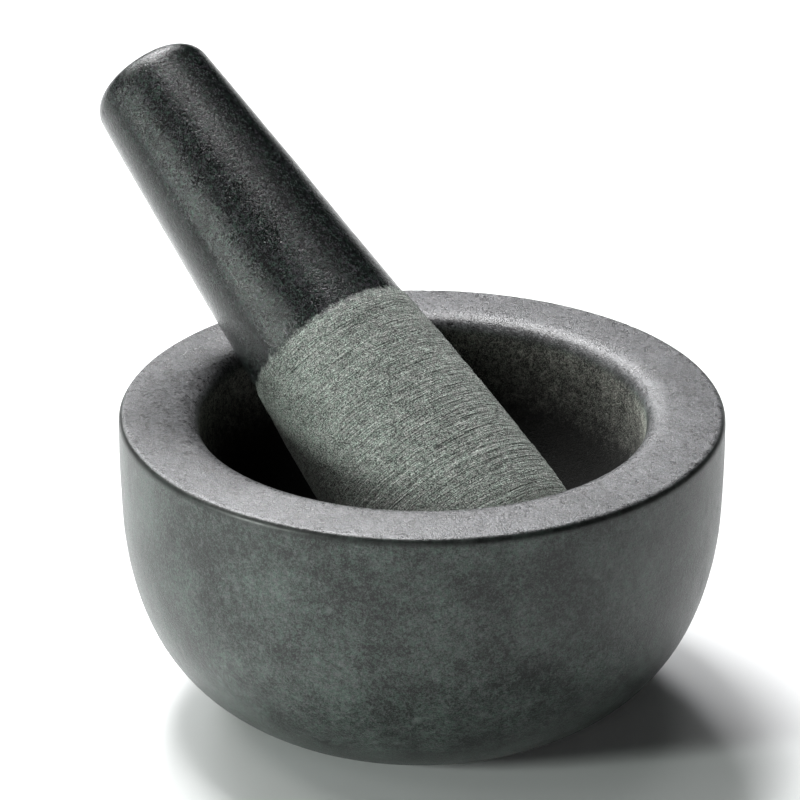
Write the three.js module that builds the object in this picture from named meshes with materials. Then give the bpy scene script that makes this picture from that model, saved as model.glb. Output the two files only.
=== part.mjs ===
// A stone mortar and the stone pestle that rests in it.
// Units are millimetres, +Z is up. The origin is the centre of the mortar's flat base.
import * as THREE from 'three';

// ---- mortar ---------------------------------------------------------------
const BOWL_DIAMETER = 141.2;      // over the straight upper wall
const BOWL_HEIGHT = 73;          // base to rim
const BASE_DIAMETER = 76;        // flat that the bowl stands on
const RIM_OUTER_ROUND = 1.8;     // small rounding on the outer edge of the rim
const RIM_INNER_DIAMETER = 110.2; // where the flat rim ends and the lip begins
const LIP_ROUND = 3;             // rounding of the inner lip
const CAVITY_DEPTH = 54;         // rim to the bottom of the cavity, on the axis
const CAVITY_FULLNESS = 2.3;     // 2 is a true ellipse, more is a fuller bowl
const BOWL_SEGMENTS = 64;

// Outer wall, as radius at a depth below the rim.
const WALL = [
  [70.62, 2.6], [70.60, 6], [70.55, 12], [70.30, 20], [69.85, 28], [68.65, 36],
  [66.55, 44], [63.20, 52], [59.40, 58], [56.00, 62], [51.50, 66], [45.30, 70],
];

// ---- pestle ---------------------------------------------------------------
const PESTLE_LENGTH = 164.7;
const HEAD_END_DOME = 18;        // height of the domed grinding end
const HEAD_RADIUS = 25.26;       // widest place, just behind the dome
const HEAD_LENGTH = 79;          // dome and unpolished body together
const HEAD_BODY = [              // radius at a distance past the polished handle
  [22.58, 14.5], [23.45, 26], [24.25, 38], [24.95, 50],
];
const HANDLE_RADIUS_LOW = 20.8;  // where the polished handle meets the head
const HANDLE_RADIUS_TOP = 15.13;
const HANDLE_EDGE_ROUND = 5.55;  // rounding of the handle's free end
const HANDLE_END_DOME = 2;       // slight crown on the free end
const PESTLE_SEGMENTS = 40;

// The pestle leans on the inner lip at the back left, with its head low in the
// cavity at the front right. The point is the axis where handle meets head.
const PESTLE_POINT = [-21.37, 20.18, BOWL_HEIGHT + 7.23];
const PESTLE_LEAN = 35.38;       // degrees above the horizontal
const PESTLE_BEARING = 132.4;    // degrees from +X, direction the handle points

const rad = (d) => d * Math.PI / 180;

// A closed profile that starts and ends on the axis, turned about Z.
function turned(profile, segments) {
  const points = profile.map(([r, z]) => new THREE.Vector2(r, z));
  const geometry = new THREE.LatheGeometry(points, segments);
  geometry.rotateX(Math.PI / 2);
  return geometry;
}

function mortarProfile() {
  const R = BOWL_DIAMETER / 2;
  const profile = [[0, 0], [BASE_DIAMETER / 2, 0]];
  for (const [r, depth] of [...WALL].reverse()) profile.push([r, BOWL_HEIGHT - depth]);
  for (let i = 0; i <= 3; i++) {
    const a = rad(30 * i);
    profile.push([
      R - RIM_OUTER_ROUND * (1 - Math.cos(a)),
      BOWL_HEIGHT - RIM_OUTER_ROUND * (1 - Math.sin(a)),
    ]);
  }
  const lip = RIM_INNER_DIAMETER / 2;
  for (let i = 0; i <= 4; i++) {
    const a = rad(90 + 22.5 * i);
    profile.push([
      lip + LIP_ROUND * Math.cos(a),
      BOWL_HEIGHT - LIP_ROUND + LIP_ROUND * Math.sin(a),
    ]);
  }
  const mouth = lip - LIP_ROUND;
  const power = 2 / CAVITY_FULLNESS;
  const steps = 14;
  for (let i = 1; i < steps; i++) {
    const a = rad(90 * i / steps);
    profile.push([
      mouth * Math.cos(a) ** power,
      BOWL_HEIGHT - LIP_ROUND - (CAVITY_DEPTH - LIP_ROUND) * Math.sin(a) ** power,
    ]);
  }
  profile.push([0, BOWL_HEIGHT - CAVITY_DEPTH]);
  return profile;
}

function pestleProfile() {
  const L = PESTLE_LENGTH;
  const profile = [[0, 0]];
  const steps = 9;
  for (let i = 1; i <= steps; i++) {
    const a = rad(90 - 90 * i / steps);
    profile.push([HEAD_RADIUS * Math.cos(a) ** 0.85, HEAD_END_DOME * (1 - Math.sin(a))]);
  }
  for (const [r, past] of [...HEAD_BODY].reverse()) profile.push([r, HEAD_LENGTH - past]);
  profile.push([HANDLE_RADIUS_LOW, HEAD_LENGTH]);
  const shoulder = L - HANDLE_END_DOME - HANDLE_EDGE_ROUND;
  profile.push([(HANDLE_RADIUS_LOW + HANDLE_RADIUS_TOP) / 2, (HEAD_LENGTH + shoulder) / 2]);
  const crown = HANDLE_RADIUS_TOP - HANDLE_EDGE_ROUND;
  for (let i = 0; i <= 5; i++) {
    const a = rad(18 * i);
    profile.push([crown + HANDLE_EDGE_ROUND * Math.cos(a), shoulder + HANDLE_EDGE_ROUND * Math.sin(a)]);
  }
  profile.push([crown * 0.55, L - HANDLE_END_DOME * 0.3]);
  profile.push([0, L]);
  return profile;
}

const mortar = new THREE.Mesh(
  turned(mortarProfile(), BOWL_SEGMENTS),
  new THREE.MeshStandardMaterial({ color: 0x454b49, roughness: 0.55, metalness: 0 }),
);
mortar.name = 'mortar';

const pestle = new THREE.Mesh(
  turned(pestleProfile(), PESTLE_SEGMENTS),
  new THREE.MeshStandardMaterial({ color: 0x3a3f40, roughness: 0.45, metalness: 0 }),
);
pestle.name = 'pestle';
pestle.position.z = -HEAD_LENGTH;

const lean = new THREE.Group();
lean.rotation.y = rad(90 - PESTLE_LEAN);
lean.add(pestle);

const rest = new THREE.Group();
rest.position.set(...PESTLE_POINT);
rest.rotation.z = rad(PESTLE_BEARING);
rest.add(lean);

const assembly = new THREE.Group();
assembly.add(mortar, rest);

export default assembly;
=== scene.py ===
import math

import bpy
import numpy as np
from mathutils import Matrix, Vector


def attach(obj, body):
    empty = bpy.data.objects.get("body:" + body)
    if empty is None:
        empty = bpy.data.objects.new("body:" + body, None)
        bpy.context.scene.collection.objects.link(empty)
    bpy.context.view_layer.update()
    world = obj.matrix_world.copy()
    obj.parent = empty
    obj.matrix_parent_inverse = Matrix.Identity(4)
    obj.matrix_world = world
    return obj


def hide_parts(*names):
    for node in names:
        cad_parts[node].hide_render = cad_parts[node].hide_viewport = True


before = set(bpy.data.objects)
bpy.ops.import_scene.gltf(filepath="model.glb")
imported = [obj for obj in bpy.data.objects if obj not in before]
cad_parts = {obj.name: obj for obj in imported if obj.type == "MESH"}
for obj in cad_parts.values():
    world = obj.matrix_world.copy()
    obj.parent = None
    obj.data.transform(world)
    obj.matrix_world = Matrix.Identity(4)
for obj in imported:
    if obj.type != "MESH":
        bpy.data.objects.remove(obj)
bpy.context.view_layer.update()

MM = 0.001

# ---------------------------------------------------------------- numbers
BOWL_HEIGHT = 73.0
BOWL_STEPS = 640
HEAD_LENGTH = 79.0
PESTLE_LENGTH = 164.7
PESTLE_STEPS = 352
PESTLE_POINT = (-21.37, 20.18, BOWL_HEIGHT + 7.23)
PESTLE_LEAN = 35.38
PESTLE_BEARING = 132.4

# ---------------------------------------------------------------- lattice noise


def _hash(ix, iy, iz, seed):
    h = (
        ix.astype(np.int64) * 374761393
        + iy.astype(np.int64) * 668265263
        + iz.astype(np.int64) * 1274126177
        + seed * 974634777
    ) & 0xFFFFFFFF
    h = ((h ^ (h >> 13)) * 1103515245) & 0xFFFFFFFF
    h = ((h ^ (h >> 16)) * 668265261) & 0xFFFFFFFF
    return ((h ^ (h >> 15)) & 0xFFFFFF) / float(0xFFFFFF)


def noise(p, size, seed=0):
    """Smooth noise from -1 to 1 with features about size across."""
    q = np.asarray(p, float) / size
    i = np.floor(q)
    f = q - i
    u = f * f * f * (f * (f * 6 - 15) + 10)
    i = i.astype(np.int64)
    total = 0.0
    for dx in (0, 1):
        for dy in (0, 1):
            for dz in (0, 1):
                w = (
                    (u[:, 0] if dx else 1 - u[:, 0])
                    * (u[:, 1] if dy else 1 - u[:, 1])
                    * (u[:, 2] if dz else 1 - u[:, 2])
                )
                total = total + w * _hash(i[:, 0] + dx, i[:, 1] + dy, i[:, 2] + dz, seed)
    return total * 2 - 1


def layered(p, size, octaves, seed=0, fall=0.5):
    out, amp, total = 0.0, 1.0, 0.0
    for k in range(octaves):
        out = out + amp * noise(p, size / 2**k, seed + 17 * k)
        total += amp
        amp *= fall
    return out / total


def smooth(x, low, high):
    t = np.clip((np.asarray(x, float) - low) / (high - low), 0, 1)
    return t * t * (3 - 2 * t)


# ---------------------------------------------------------------- turned shapes


def through(points, per):
    """A smooth line through the points, as (n, 2)."""
    p = np.array(points, float)
    out = []
    for i in range(len(p) - 1):
        a, b = p[i], p[i + 1]
        before = p[i - 1] if i else a - (b - a)
        after = p[i + 2] if i + 2 < len(p) else b + (b - a)
        da, db, dc = (
            max(np.linalg.norm(a - before), 1e-6) ** 0.5,
            max(np.linalg.norm(b - a), 1e-6) ** 0.5,
            max(np.linalg.norm(after - b), 1e-6) ** 0.5,
        )
        m1 = (a - before) / da - (b - before) / (da + db) + (b - a) / db
        m2 = (b - a) / db - (after - a) / (db + dc) + (after - b) / dc
        m1, m2 = m1 * db, m2 * db
        for t in np.linspace(0, 1, per, endpoint=False):
            out.append(
                (2 * t**3 - 3 * t**2 + 1) * a
                + (t**3 - 2 * t**2 + t) * m1
                + (-2 * t**3 + 3 * t**2) * b
                + (t**3 - t**2) * m2
            )
    out.append(p[-1])
    return np.array(out)


def spaced(line, spans):
    """Points along line. spans holds (length to, spacing) pairs, in order, the last one to the line's end."""
    seg = np.linalg.norm(np.diff(line, axis=0), axis=1)
    s = np.concatenate([[0], np.cumsum(seg)])
    stops, at = [0.0], 0.0
    for to, gap in spans:
        to = s[-1] if to is None else min(to, s[-1])
        n = max(1, int(round((to - at) / gap)))
        stops += list(np.linspace(at, to, n + 1)[1:])
        at = to
    return np.stack([np.interp(stops, s, line[:, 0]), np.interp(stops, s, line[:, 1])], 1), np.array(stops)


def turn(profile, steps):
    """Vertices of the profile turned about Z, their outward normals and angles. The first and last points are on the axis and become one vertex each."""
    d = np.gradient(profile, axis=0)
    d /= np.linalg.norm(d, axis=1)[:, None]
    normal = np.stack([d[:, 1], -d[:, 0]], 1)
    inner, nin = profile[1:-1], normal[1:-1]
    a = np.arange(steps) * 2 * math.pi / steps
    c, s = np.cos(a), np.sin(a)
    ring = np.stack(
        [inner[:, :1] * c, inner[:, :1] * s, np.repeat(inner[:, 1:], steps, 1)], 2
    ).reshape(-1, 3)
    nring = np.stack(
        [nin[:, :1] * c, nin[:, :1] * s, np.repeat(nin[:, 1:], steps, 1)], 2
    ).reshape(-1, 3)
    index = np.repeat(np.arange(1, len(profile) - 1), steps)
    angle = np.tile(a, len(inner))
    return ring, nring, index, angle


def turned_faces(rings, steps):
    i = np.arange(rings - 1)[:, None] * steps
    j = np.arange(steps)[None]
    k = (j + 1) % steps
    quads = np.stack([i + j, i + k, i + k + steps, i + j + steps], 2).reshape(-1, 4)
    n = rings * steps
    j, k = np.arange(steps), (np.arange(steps) + 1) % steps
    low = np.stack([np.full(steps, n), k, j], 1)
    last = (rings - 1) * steps
    high = np.stack([np.full(steps, n + 1), last + j, last + k], 1)
    return quads, np.concatenate([low, high])


def make_mesh(name, verts, quads, tris, attributes):
    mesh = bpy.data.meshes.new(name)
    loops = np.concatenate([quads.ravel(), tris.ravel()]).astype(np.int32)
    starts = np.concatenate(
        [np.arange(len(quads)) * 4, len(quads) * 4 + np.arange(len(tris)) * 3]
    ).astype(np.int32)
    mesh.vertices.add(len(verts))
    mesh.vertices.foreach_set("co", (verts * MM).astype(np.float32).ravel())
    mesh.loops.add(len(loops))
    mesh.loops.foreach_set("vertex_index", loops)
    mesh.polygons.add(len(starts))
    mesh.polygons.foreach_set("loop_start", starts)
    mesh.update(calc_edges=True)
    mesh.validate()
    for key, value in attributes.items():
        kind = "FLOAT_VECTOR" if value.ndim == 2 else "FLOAT"
        a = mesh.attributes.new(key, kind, "POINT")
        a.data.foreach_set("vector" if value.ndim == 2 else "value", value.astype(np.float32).ravel())
    mesh.polygons.foreach_set("use_smooth", np.ones(len(mesh.polygons), bool))
    obj = bpy.data.objects.new(name, mesh)
    bpy.context.scene.collection.objects.link(obj)
    return obj


def pits(points, centres, radii, depths):
    """How far each point sinks into the nearest pits."""
    out = np.zeros(len(points))
    for c, r, d in zip(centres, radii, depths):
        near = np.abs(points - c).max(1) < r * 1.6
        if near.any():
            q = np.linalg.norm(points[near] - c, axis=1) / r
            out[near] = np.maximum(out[near], d * np.exp(-((q * 1.25) ** 3)))
    return out


# ---------------------------------------------------------------- mortar

rng = np.random.default_rng(11)


def mortar_profile():
    H = BOWL_HEIGHT
    base = [(0, 0), (36.2, 0)]
    foot = [(36.2, 0), (37.4, 0.10), (38.6, 0.42), (40.2, 0.95), (45.3, 3.0)]
    wall = foot[:-1] + [
        (r, H - d)
        for r, d in reversed(
            [
                (70.61, 3.3), (70.60, 6), (70.55, 12), (70.30, 20), (69.85, 28), (68.65, 36),
                (66.55, 44), (63.20, 52), (59.40, 58), (56.00, 62), (51.50, 66), (45.30, 70),
            ]
        )
    ]
    rim = [
        (70.60, H - 2.30), (70.57, H - 1.50), (70.46, H - 1.00), (70.24, H - 0.60),
        (69.93, H - 0.28), (69.60, H - 0.08), (69.2, H + 0.01), (68.2, H + 0.04), (66.6, H + 0.09), (64.5, H + 0.15), (61.5, H + 0.19),
        (58.0, H + 0.15), (56.4, H + 0.03), (55.0, H - 0.30), (53.7, H - 0.98), (52.75, H - 2.08), (52.25, H - 3.4),
    ]
    power = 2 / 2.3
    bore = [
        (52.1 * math.cos(a) ** power, H - 3 - 51 * math.sin(a) ** power)
        for a in np.radians([9, 15, 22, 30, 38, 46, 54, 62, 70, 78, 84])
    ] + [(0, H - 54)]
    a = through(wall + rim + bore, 24)
    return np.concatenate([[base[0]], a])


line = mortar_profile()
seg = np.concatenate([[0], np.cumsum(np.linalg.norm(np.diff(line, axis=0), axis=1))])
top = seg[int(np.argmin(np.hypot(line[:, 0] - 70.61, line[:, 1] - (BOWL_HEIGHT - 3.3))))]
lip = seg[int(np.argmin(np.hypot(line[:, 0] - 52.25, line[:, 1] - (BOWL_HEIGHT - 3.4))))]
profile, along = spaced(
    line,
    [(35.5, 7.0), (41.0, 0.85), (top - 1, 1.7), (top + 4.6, 0.31), (lip - 6.5, 0.9), (lip, 0.5), (lip + 45, 1.25), (None, 2.4)],
)
verts, normals, index, angle = turn(profile, BOWL_STEPS)
s_at = along[index]
radius = np.hypot(verts[:, 0], verts[:, 1])

on_rim = smooth(s_at, top + 3.0, top + 3.6) * (1 - smooth(s_at, lip - 2.5, lip + 0.3))
in_bore = smooth(s_at, lip - 1.5, lip + 1.0)
on_base = 1 - smooth(s_at, 35.0, 39.0)
fillet = smooth(s_at, top + 0.9, top + 2.1) * (1 - smooth(s_at, top + 3.0, top + 3.5))
worn = 0.25 * np.exp(-(((s_at - (top + 3.6)) / 0.5) ** 2)) + 0.8 * np.exp(-(((s_at - (lip - 2.4)) / 1.8) ** 2))

move = 0.16 * layered(verts, 34, 2, 3) * (1 - on_rim) * (1 - on_base)
move += 0.035 * layered(verts, 6, 2, 5) * (1 - on_base) * (1 - 0.85 * on_rim) * (1 - 0.7 * fillet)
move += 0.05 * layered(verts, 2.4, 2, 9) * in_bore
move += 0.05 * layered(verts, 34, 2, 13) * on_rim
move -= 0.05 * smooth(layered(verts, 3.6, 2, 21), 0.25, 0.8) * np.clip(worn, 0, 1)

# turning marks left by the wheel inside the bowl, and small pits and chips
ring_wave = noise(np.stack([s_at, 0 * s_at, 0 * s_at], 1), 1.9, 31) + 0.6 * noise(np.stack([s_at, 0 * s_at, 0 * s_at], 1), 3.7, 33)
move += 0.035 * ring_wave * in_bore

t = rng.uniform(0, 2 * math.pi, 90)
r = rng.uniform(55.5, 69.5, 90)
rim_pits = np.stack([r * np.cos(t), r * np.sin(t), np.full(90, BOWL_HEIGHT)], 1)
move -= pits(verts, rim_pits, rng.uniform(0.4, 0.8, 90), rng.uniform(0.03, 0.16, 90))
t = rng.uniform(0, 2 * math.pi, 26)
edge = np.stack([70.3 * np.cos(t), 69.6 * np.sin(t), rng.uniform(BOWL_HEIGHT - 1.6, BOWL_HEIGHT - 0.4, 26)], 1)
move -= pits(verts, edge, rng.uniform(0.5, 1.0, 26), rng.uniform(0.03, 0.12, 26))
t = rng.uniform(0, 2 * math.pi, 150)
z = rng.uniform(6, 70, 150)
rw = np.interp(z, profile[along < top][1:, 1], profile[along < top][1:, 0])
wall_pits = np.stack([rw * np.cos(t), rw * np.sin(t), z], 1)
move -= pits(verts, wall_pits, rng.uniform(0.8, 1.7, 150), rng.uniform(0.04, 0.16, 150))

verts = verts + normals * move[:, None]
verts[:, 0] -= 0.30 * smooth(BOWL_HEIGHT - verts[:, 2], 16, 60) * (1 - in_bore)
verts[:, 2] = np.maximum(verts[:, 2], 0)
rings = len(profile) - 2
verts = np.concatenate([verts, [[0, 0, 0], [0, 0, BOWL_HEIGHT - 54]]])
pad = lambda v, a, b: np.concatenate([v, [a, b]])
quads, tris = turned_faces(rings, BOWL_STEPS)
mortar = make_mesh(
    "mortar_stone",
    verts,
    quads,
    tris,
    {
        "lco": verts,
        "rim": pad(on_rim, 0, 0),
        "bore": pad(in_bore, 0, 1),
        "edge": pad(np.clip(worn, 0, 1), 0, 0),
        "fillet": pad(fillet, 0, 0),
    },
)
print("mortar rings", rings, "quads", len(quads))

# ---------------------------------------------------------------- pestle


placing = (
    Matrix.Translation(Vector(PESTLE_POINT))
    @ Matrix.Rotation(math.radians(PESTLE_BEARING), 4, "Z")
    @ Matrix.Rotation(math.radians(90 - PESTLE_LEAN), 4, "Y")
    @ Matrix.Translation(Vector((0, 0, -HEAD_LENGTH)))
)
m = np.array(placing)
# the side of the pestle facing up, right and towards the camera: its grooves are deepest, and the material paints it
# lighter (painted light)
deep = m[:3, :3].T @ np.array([0.27, -0.55, 0.79])
GROOVED_AND_PAINTED_LIGHT_SIDE = math.atan2(deep[1], deep[0])


def pestle_profile():
    L = PESTLE_LENGTH
    dome = [(0, 0)] + [
        (25.26 * math.cos(a) ** 0.85, 18 * (1 - math.sin(a)))
        for a in np.radians([84, 76, 66, 56, 46, 36, 26, 16, 7])
    ]
    body = [(25.26, 18.0), (25.22, 22), (24.98, 29), (24.25, 41), (23.45, 53), (22.58, 64.5), (21.75, 73), (21.12, 78.4)]
    handle = [(20.86, 79.3), (20.55, 83), (20.02, 90), (17.9, 121), (15.75, 150), (15.22, 156.4)]
    crown = 15.13 - 5.55
    end = [
        (crown + 5.55 * math.cos(a), L - 7.55 + 5.55 * math.sin(a)) for a in np.radians([12, 28, 44, 60, 76, 90])
    ] + [(crown * 0.6, L - 0.75), (0, L)]
    return through(dome + body + handle + end, 20)


line = pestle_profile()
seg = np.concatenate([[0], np.cumsum(np.linalg.norm(np.diff(line, axis=0), axis=1))])
meet = seg[int(np.argmin(np.abs(line[:, 1] - HEAD_LENGTH) + (line[:, 0] < 15) * 99))]
profile, along = spaced(line, [(6, 1.2), (30, 0.8), (meet + 1.5, 0.46), (meet + 78, 1.1), (None, 0.7)])
verts, normals, index, angle = turn(profile, PESTLE_STEPS)
s_at = along[index]
zl = verts[:, 2]
past = HEAD_LENGTH - zl
on_head = smooth(past, -0.9, 0.9)

a2 = np.stack([30 * np.cos(angle), 30 * np.sin(angle), zl], 1)
move = 0.12 * layered(verts, 30, 2, 43)
move += 0.05 * layered(verts, 7, 2, 47) * (0.4 + on_head)
# the turning marks are deep on one side and almost rubbed away on the other; the material also uses this mask to paint
# that side of the head lighter and the other darker (painted light and shade)
groove_and_painted_light_side = 0.22 + 0.78 * smooth(np.cos(angle - GROOVED_AND_PAINTED_LIGHT_SIDE), -0.15, 0.85)
# turned grooves: rings that wander and fade as they go round
wander = 0.8 * noise(a2, 26, 53)
zz = zl + wander
ones = lambda q: np.stack([q, 0 * q, 0 * q], 1)
fine = noise(ones(zz), 0.95, 61) + 0.7 * noise(ones(zz + 0.3 * noise(a2, 9, 63)), 1.7, 67)
fade = 0.45 + 0.55 * noise(np.stack([22 * np.cos(angle), 22 * np.sin(angle), zl * 1.0], 1), 13, 71)
band = 0.35 + 1.0 * np.exp(-(((past - 48) / 7.5) ** 2)) + 0.55 * np.exp(-(((past - 5) / 5.0) ** 2))
move += 0.19 * fine * np.clip(fade, 0.15, 1) * band * groove_and_painted_light_side * on_head
# a few deeper single cuts
for at, depth, start, width in (
    (46.3, 0.16, 0.3, 1.5), (49.6, 0.18, 1.2, 1.9), (52.4, 0.14, 5.0, 1.4), (43.8, 0.12, 2.2, 1.2), (55.5, 0.10, 0.2, 1.6),
    (3.2, 0.10, 0.9, 1.4), (6.8, 0.12, 1.6, 1.2), (12.0, 0.08, 5.6, 1.1), (22.5, 0.07, 3.2, 1.8), (34.0, 0.08, 4.2, 1.5), (61, 0.09, 2.8, 1.9),
    (66, 0.08, 1.1, 1.9),
):
    away = np.abs((angle - start + math.pi) % (2 * math.pi) - math.pi)
    cut = np.exp(-(((past + 0.5 * wander - at) / 0.42) ** 2)) * (1 - smooth(away, width * 0.5, width))
    move -= 1.5 * depth * cut * groove_and_painted_light_side
move += 0.075 * noise(verts, 1.25, 73) * on_head
c = rng.integers(0, len(verts), 170)
deep = rng.uniform(0.05, 0.2, 170) * (0.5 + 0.5 * on_head[c])
move -= pits(verts, verts[c], rng.uniform(0.6, 1.3, 170), deep)
lift = np.where(zl < 30, 0.6, 1.0)
verts = verts + normals * (move * lift)[:, None]
local = np.concatenate([verts, [[0, 0, 0], [0, 0, PESTLE_LENGTH]]])
quads, tris = turned_faces(len(profile) - 2, PESTLE_STEPS)
placed = local @ m[:3, :3].T + m[:3, 3]
pestle = make_mesh(
    "pestle_stone", placed, quads, tris, {"lco": local, "head": pad(on_head, 1, 0), "groove_and_painted_light_side": pad(groove_and_painted_light_side, 0.4, 0.4)}
)
print("pestle rings", len(profile) - 2, "quads", len(quads))

# ---------------------------------------------------------------- materials


class Tree:
    """Short names for building a node tree."""

    def __init__(self, name):
        self.mat = bpy.data.materials.new(name)
        self.mat.use_nodes = True
        self.nt = self.mat.node_tree
        self.nt.nodes.clear()
        self.out = self.nt.nodes.new("ShaderNodeOutputMaterial")
        self.shader = self.nt.nodes.new("ShaderNodeBsdfPrincipled")
        self.nt.links.new(self.shader.outputs[0], self.out.inputs["Surface"])

    def put(self, node, key, value):
        if isinstance(value, bpy.types.NodeSocket):
            self.nt.links.new(value, node.inputs[key])
        elif value is not None:
            node.inputs[key].default_value = value

    def node(self, kind, **inputs):
        n = self.nt.nodes.new(kind)
        for k, v in inputs.items():
            self.put(n, k, v)
        return n

    def attribute(self, name, out="Fac"):
        n = self.nt.nodes.new("ShaderNodeAttribute")
        n.attribute_name = name
        return n.outputs[out]

    def noise(self, co, scale, detail=2.0, rough=0.5, distort=0.0, out=0):
        n = self.node("ShaderNodeTexNoise", Vector=co, Scale=scale, Detail=detail, Roughness=rough, Distortion=distort)
        return n.outputs[out]

    def cells(self, co, scale, feature="F1", random=1.0, out="Distance", smoothness=None):
        n = self.nt.nodes.new("ShaderNodeTexVoronoi")
        n.feature = feature
        self.put(n, "Vector", co)
        self.put(n, "Scale", scale)
        self.put(n, "Randomness", random)
        return n.outputs[out]

    def math(self, op, a, b=None, c=None, clamp=False):
        n = self.nt.nodes.new("ShaderNodeMath")
        n.operation = op
        n.use_clamp = clamp
        for i, v in enumerate((a, b, c)):
            if v is not None:
                self.put(n, i, v)
        return n.outputs[0]

    def span(self, v, a, b, c=0.0, d=1.0, soft=True):
        n = self.nt.nodes.new("ShaderNodeMapRange")
        n.interpolation_type = "SMOOTHSTEP" if soft else "LINEAR"
        n.clamp = True
        for k, x in (("Value", v), ("From Min", a), ("From Max", b), ("To Min", c), ("To Max", d)):
            self.put(n, k, x)
        return n.outputs[0]

    def mix(self, f, a, b, how="MIX"):
        n = self.nt.nodes.new("ShaderNodeMix")
        n.data_type = "RGBA"
        n.blend_type = how
        n.clamp_factor = True
        self.put(n, 0, f)
        self.put(n, 6, a)
        self.put(n, 7, b)
        return n.outputs[2]

    def mixf(self, f, a, b):
        n = self.nt.nodes.new("ShaderNodeMix")
        n.data_type = "FLOAT"
        self.put(n, 0, f)
        self.put(n, 2, a)
        self.put(n, 3, b)
        return n.outputs[0]

    def scaled(self, co, x, y, z):
        n = self.nt.nodes.new("ShaderNodeVectorMath")
        n.operation = "MULTIPLY"
        self.put(n, 0, co)
        n.inputs[1].default_value = (x, y, z)
        return n.outputs[0]

    def grey(self, v):
        n = self.nt.nodes.new("ShaderNodeCombineColor")
        for i in range(3):
            self.put(n, i, v)
        return n.outputs[0]

    def bump(self, height, strength, distance, normal=None):
        n = self.node("ShaderNodeBump", Strength=strength, Distance=distance, Height=height)
        if normal is not None:
            self.put(n, "Normal", normal)
        return n.outputs[0]


def col(r, g, b):
    return (r, g, b, 1.0)


def warped(t, co, size, amount):
    """co pushed about by noise, so that cells lose their round shape."""
    n = t.nt.nodes.new("ShaderNodeVectorMath")
    n.operation = "MULTIPLY_ADD"
    t.put(n, 0, t.noise(co, size, 2, 0.6, out=1))
    n.inputs[1].default_value = (amount, amount, amount)
    t.put(n, 2, co)
    return n.outputs[0]


def specks(t, co, scale, share, low=0.08, high=0.3):
    """Specks: cells whose random number is over 1 - share, drawn small."""
    d = t.cells(co, scale, out="Distance")
    c = t.cells(co, scale, out="Color")
    sep = t.nt.nodes.new("ShaderNodeSeparateColor")
    t.put(sep, 0, c)
    chosen = t.span(sep.outputs[0], 1 - share, 1 - share + 0.02, 0, 1, soft=False)
    near = t.span(d, low, high, 1, 0)
    return t.math("MULTIPLY", chosen, near)


class Grain:
    """The stone's own texture, from the finest grain up to slow clouds."""

    def __init__(self, t, co):
        self.t = t
        self.wco = warped(t, co, 1.6, 0.9)
        self.dust = t.noise(co, 5.2, 1, 0.5)
        self.fine = t.noise(co, 2.7, 2, 0.6)
        self.mid = t.noise(self.wco, 1.15, 2, 0.6)
        self.blotch = t.noise(self.wco, 0.40, 3, 0.6)
        self.cloud = t.noise(co, 0.075, 3, 0.55)
        sep = t.nt.nodes.new("ShaderNodeSeparateColor")
        t.put(sep, 0, t.cells(self.wco, 1.5, out="Color"))
        self.crystal, self.hue = sep.outputs[0], sep.outputs[1]
        self.tint = t.noise(self.wco, 0.75, 3, 0.7)

    def tone(self, dust, fine, mid, blotch, cloud, crystal):
        """One number about 1: how light the stone is here."""
        t, a = self.t, 1.0
        for v, w in (
            (self.dust, dust), (self.fine, fine), (self.mid, mid),
            (self.blotch, blotch), (self.cloud, cloud), (self.crystal, crystal),
        ):
            a = t.math("MULTIPLY_ADD", t.math("SUBTRACT", v, 0.5), w, a)
        return t.math("MAXIMUM", a, 0.12)

    def pair(self, a, b):
        """Colour between greenish a and purplish b, crystal by crystal."""
        t = self.t
        f = t.math("MULTIPLY_ADD", t.math("SUBTRACT", self.hue, 0.5), 0.55, self.tint)
        return t.mix(t.span(f, 0.28, 0.72, 0, 1, soft=False), col(*a), col(*b))


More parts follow.
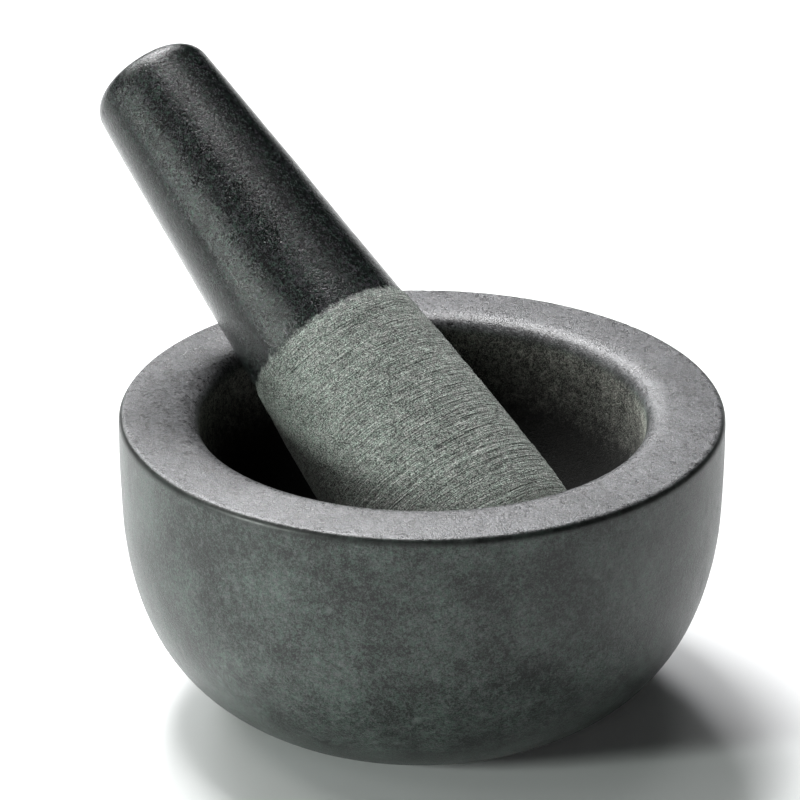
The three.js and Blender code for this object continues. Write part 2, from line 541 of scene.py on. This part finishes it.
def mortar_material():
    t = Tree("honed_stone_bowl")
    co = t.attribute("lco", "Vector")
    rim, bore, edge = t.attribute("rim"), t.attribute("bore"), t.attribute("edge")
    g = Grain(t, co)
    v = t.mixf(rim, g.tone(2.6, 3.8, 3.2, 2.6, 3.0, 0.4), g.tone(3.4, 4.6, 2.4, 1.6, 1.2, 0.8))
    v = t.mixf(bore, v, g.tone(4.2, 5.2, 2.6, 1.8, 0.8, 0.8))
    c = t.mix(rim, g.pair(WALL_A, WALL_B), g.pair(RIM_A, RIM_B))
    c = t.mix(bore, c, g.pair(BORE_A, BORE_B))
    # painted shade and light: the bore is darkened towards its bottom and lightened up to its mouth, standing in for
    # the shade deep in the bowl and the light on its upper wall
    axes = t.nt.nodes.new("ShaderNodeSeparateXYZ")
    t.put(axes, 0, co)
    bore_painted_shade_and_light = t.span(t.math("MULTIPLY_ADD", t.math("SUBTRACT", g.blotch, 0.5), 9.0, axes.outputs[2]), 50.0, 70.0, 0.08, 2.35)
    c = t.mix(bore, c, t.mix(1.0, c, t.grey(bore_painted_shade_and_light), "MULTIPLY"))
    c = t.mix(1.0, c, t.grey(v), "MULTIPLY")

    soft = t.math("MULTIPLY", specks(t, g.wco, 0.20, 0.16, 0.0, 0.30), g.blotch)
    light = specks(t, g.wco, 0.62, 0.16, 0.02, 0.30)
    dark = specks(t, g.wco, 0.85, 0.20, 0.02, 0.30)
    c = t.mix(t.math("MULTIPLY", soft, 1.0), c, col(0.105, 0.122, 0.114))
    c = t.mix(t.math("MULTIPLY", light, 0.30), c, col(0.10, 0.118, 0.108))
    c = t.mix(t.math("MULTIPLY", dark, 0.60), c, col(0.012, 0.013, 0.013))
    # short scratches on the rim, and the paler, bruised crest of its edges
    scratch = t.noise(t.scaled(co, 0.22, 1.5, 1.5), 1.0, 3, 0.7)
    scratch = t.math("MULTIPLY", t.span(scratch, 0.645, 0.70, 0, 1), rim)
    c = t.mix(t.math("MULTIPLY", scratch, 0.45), c, col(0.020, 0.022, 0.026))
    scuff = t.span(t.noise(co, 0.8, 3, 0.6), 0.50, 0.70, 0, 0.26)
    c = t.mix(t.math("MULTIPLY", scuff, edge), c, col(0.20, 0.20, 0.20))
    # painted shade: the rounded band between the rim and the wall is darkened to 30% of its colour, standing in for the
    # shade along it
    fillet = t.attribute("fillet")
    c = t.mix(fillet, c, t.mix(1.0, c, col(0.30, 0.30, 0.30), "MULTIPLY"))
    t.put(t.shader, "Base Color", c)

    rough = t.mixf(rim, WALL_ROUGH, RIM_ROUGH)
    rough = t.mixf(fillet, rough, 0.42)
    rough = t.mixf(bore, rough, BORE_ROUGH)
    rough = t.math("MULTIPLY_ADD", t.math("SUBTRACT", g.mid, 0.5), 0.25, rough)
    rough = t.math("MULTIPLY_ADD", t.math("SUBTRACT", g.blotch, 0.5), t.mixf(rim, 0.20, 0.10), rough)
    rough = t.math("MULTIPLY_ADD", scratch, 0.2, rough, clamp=True)
    t.put(t.shader, "Roughness", rough)

    pit = t.math("MULTIPLY", specks(t, g.wco, 1.0, 0.25, 0.02, 0.33), -1.0)
    h = t.math("MULTIPLY_ADD", pit, 0.8, g.fine)
    h = t.math("MULTIPLY_ADD", g.dust, 0.45, h)
    h = t.math("MULTIPLY_ADD", g.mid, 0.9, h)
    h = t.math("MULTIPLY_ADD", scratch, -0.7, h)
    strength = t.math("MULTIPLY_ADD", bore, 0.45, t.mixf(rim, WALL_BUMP, RIM_BUMP))
    strength = t.mixf(fillet, strength, 0.06)
    t.put(t.shader, "Normal", t.bump(h, strength, 0.00026))
    t.shader.inputs["IOR"].default_value = 1.45
    return t.mat


def pestle_material():
    t = Tree("polished_and_turned_stone")
    co = t.attribute("lco", "Vector")
    sep = t.nt.nodes.new("ShaderNodeSeparateXYZ")
    t.put(sep, 0, co)
    z = sep.outputs[2]
    g = Grain(t, co)
    line = t.math("MULTIPLY_ADD", t.math("SUBTRACT", t.noise(co, 0.5, 4, 0.75), 0.5), 5.0, z)
    head = t.span(line, HEAD_LENGTH + 1.3, HEAD_LENGTH - 1.1, 0, 1)
    v = t.mixf(head, g.tone(6.0, 8.5, 5.4, 3.0, 1.8, 1.4), g.tone(5.8, 4.0, 1.2, 1.0, 0.7, 0.3))
    c = t.mix(head, g.pair(HANDLE_A, HANDLE_B), g.pair(HEAD_A, HEAD_B))
    c = t.mix(1.0, c, t.grey(v), "MULTIPLY")
    light = specks(t, g.wco, 0.75, 0.20, 0.02, 0.30)
    dark = specks(t, g.wco, 0.95, 0.22, 0.02, 0.30)
    c = t.mix(t.math("MULTIPLY", light, 0.28), c, col(0.15, 0.18, 0.16))
    c = t.mix(t.math("MULTIPLY", dark, 0.55), c, col(0.012, 0.013, 0.013))
    # fine turning marks: light and dark hairlines that run round the head, plus painted light and shade: the head's
    # colour is scaled from about 0.73 on one side to 1.4 on the other
    hair = t.noise(t.scaled(co, 0.14, 0.14, 3.0), 1.0, 2, 0.6)
    hair2 = t.noise(t.scaled(co, 0.08, 0.08, 1.3), 1.0, 3, 0.6)
    lines = t.math("MULTIPLY_ADD", hair, 0.6, t.math("MULTIPLY", hair2, 0.4))
    groove_and_painted_light_side = t.attribute("groove_and_painted_light_side")
    marks_and_painted_light = t.math("MULTIPLY_ADD", t.math("SUBTRACT", lines, 0.5), t.math("MULTIPLY", groove_and_painted_light_side, 2.0), 1.0)
    # painted light and shade: this factor makes one side of the head lighter and the other darker
    marks_and_painted_light = t.math("MULTIPLY", marks_and_painted_light, t.math("MULTIPLY_ADD", groove_and_painted_light_side, 0.86, 0.54))
    c = t.mix(head, c, t.mix(1.0, c, t.grey(marks_and_painted_light), "MULTIPLY"))
    t.put(t.shader, "Base Color", c)

    rough = t.mixf(head, HANDLE_ROUGH, HEAD_ROUGH)
    rough = t.math("MULTIPLY_ADD", t.math("SUBTRACT", g.mid, 0.5), 0.25, rough)
    rough = t.math("MULTIPLY_ADD", t.math("SUBTRACT", g.blotch, 0.5), 0.20, rough, clamp=True)
    t.put(t.shader, "Roughness", rough)

    pit = t.math("MULTIPLY", specks(t, g.wco, 1.1, 0.25, 0.02, 0.33), -1.0)
    h = t.math("MULTIPLY_ADD", pit, 0.8, g.fine)
    h = t.math("MULTIPLY_ADD", g.dust, 0.45, h)
    h = t.math("MULTIPLY_ADD", g.mid, 0.9, h)
    normal = t.bump(h, t.mixf(head, HANDLE_BUMP, 0.95), 0.00030)
    normal = t.bump(lines, t.math("MULTIPLY", head, groove_and_painted_light_side), 0.0010, normal)
    t.put(t.shader, "Normal", normal)
    t.shader.inputs["IOR"].default_value = 1.38
    return t.mat


# colours in linear light
WALL_A, WALL_B = (0.0275, 0.0405, 0.0335), (0.0350, 0.0375, 0.0370)
RIM_A, RIM_B = (0.0740, 0.0765, 0.0800), (0.0830, 0.0815, 0.0845)
BORE_A, BORE_B = (0.0750, 0.0800, 0.0690), (0.0860, 0.0840, 0.0760)
HANDLE_A, HANDLE_B = (0.0082, 0.0130, 0.0106), (0.0122, 0.0115, 0.0132)
HEAD_A, HEAD_B = (0.1410, 0.1630, 0.1450), (0.1560, 0.1600, 0.1510)
WALL_ROUGH, RIM_ROUGH, BORE_ROUGH = 0.37, 0.29, 0.85
HANDLE_ROUGH, HEAD_ROUGH = 0.14, 0.90
WALL_BUMP, RIM_BUMP, HANDLE_BUMP = 0.30, 0.45, 0.36

mortar.data.materials.append(mortar_material())
pestle.data.materials.append(pestle_material())
for obj, body, node, slot_name in (
    (mortar, "mortar", "mortar", "mortar_stone"),
    (pestle, "pestle", "pestle", "pestle_stone"),
):
    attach(obj, body)
    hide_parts(node)

# ---------------------------------------------------------------- floor, light and camera

floor_mesh = bpy.data.meshes.new("floor")
F = 3.0
floor_mesh.from_pydata([(-F, -F, 0), (F, -F, 0), (F, F, 0), (-F, F, 0)], [], [(0, 1, 2, 3)])
floor = bpy.data.objects.new("floor", floor_mesh)
bpy.context.scene.collection.objects.link(floor)
ft = Tree("pale_floor")
ft.shader.inputs["Base Color"].default_value = (0.84, 0.85, 0.85, 1)
ft.shader.inputs["Roughness"].default_value = 0.45
floor.data.materials.append(ft.mat)
floor.location.z = -0.0002

WORLD = 0.0
LIGHTS = [
    # name, compass direction and height in degrees, width, height, watts, colour; all 1.4 m away
    ("high_back", 120, 66, 0.45, 0.45, 24.0, (1, 1, 1)),
    ("left_card", 209, 12, 0.10, 0.27, 15.0, (0.92, 1, 0.95)),
    ("back_left", 122, 32, 0.45, 0.40, 7.5, (0.985, 0.985, 1)),
    ("back", 99, 37, 0.32, 0.32, 9.5, (0.985, 0.985, 1)),
    ("left", 162, 42, 0.40, 0.38, 4.0, (1, 1, 0.97)),
    ("left_front", 215, 42, 0.45, 0.40, 1.0, (1, 1, 1)),
    ("left_back_low", 155, 12, 0.50, 0.40, 0.4, (1, 1, 1)),
    ("high_right_back", 60, 65, 0.40, 0.40, 1.2, (1, 1, 1)),
    ("overhead", 90, 89.5, 0.50, 0.50, 0.6, (1, 1, 1)),
    ("front_low", 262, 15, 0.60, 0.40, 1.6, (1, 1, 1)),
]


def softbox(name, bearing, rise, width, height, watts, colour):
    data = bpy.data.lights.new(name, "AREA")
    data.shape = "RECTANGLE"
    data.size, data.size_y = width, height
    data.energy = watts
    data.color = colour
    o = bpy.data.objects.new(name, data)
    bpy.context.scene.collection.objects.link(o)
    b, e = math.radians(bearing), math.radians(rise)
    out = Vector((math.cos(e) * math.cos(b), math.cos(e) * math.sin(b), math.sin(e)))
    o.location = Vector((0, 0, 0.05)) + 1.4 * out
    o.rotation_euler = out.to_track_quat("Z", "Y").to_euler()
    return o


for light in LIGHTS:
    softbox(*light)

world = bpy.data.worlds.new("studio")
world.use_nodes = True
world.node_tree.nodes["Background"].inputs[0].default_value = (1, 1, 1, 1)
world.node_tree.nodes["Background"].inputs[1].default_value = WORLD
bpy.context.scene.world = world

# The camera looks at the middle of the rim from 24.5 degrees above, 1.2 m away, turned a little so that the object sits left of the middle.
DISTANCE, RISE, PER_MM, AT, ROLL = 1200.0, math.radians(24.5), 4.294, (422.35, 407.7), -0.0037
f_px = PER_MM * DISTANCE
eye = np.array([0, -DISTANCE * math.cos(RISE), DISTANCE * math.sin(RISE)])
w = -eye / DISTANCE
right = np.array([1.0, 0, 0])
up = np.cross(right, w)
to = np.array([AT[0] - 400, -(AT[1] - 400), f_px])
to /= np.linalg.norm(to)
z0 = np.array([0, 0, 1.0])
v = np.cross(z0, to)
K = np.array([[0, -v[2], v[1]], [v[2], 0, -v[0]], [-v[1], v[0], 0]])
M = np.eye(3) + K + K @ K / (1 + z0 @ to)
cr, sr = math.cos(ROLL), math.sin(ROLL)
A = M @ np.array([[cr, -sr, 0], [sr, cr, 0], [0, 0, 1]]) @ np.stack([right, up, w])
cam_data = bpy.data.cameras.new("camera")
cam_data.sensor_width = 36.0
cam_data.lens = f_px * 36.0 / 800.0
cam_data.clip_start, cam_data.clip_end = 0.05, 20
camera = bpy.data.objects.new("camera", cam_data)
bpy.context.scene.collection.objects.link(camera)
mw = Matrix.Identity(4)
for i in range(3):
    mw[i][0], mw[i][1], mw[i][2] = A[0][i], A[1][i], -A[2][i]
mw.translation = Vector((eye + np.array([0, 0, BOWL_HEIGHT])) * MM)
camera.matrix_world = mw
bpy.context.scene.camera = camera
bpy.context.scene.view_settings.view_transform = "Standard"
bpy.context.scene.view_settings.look = "None"
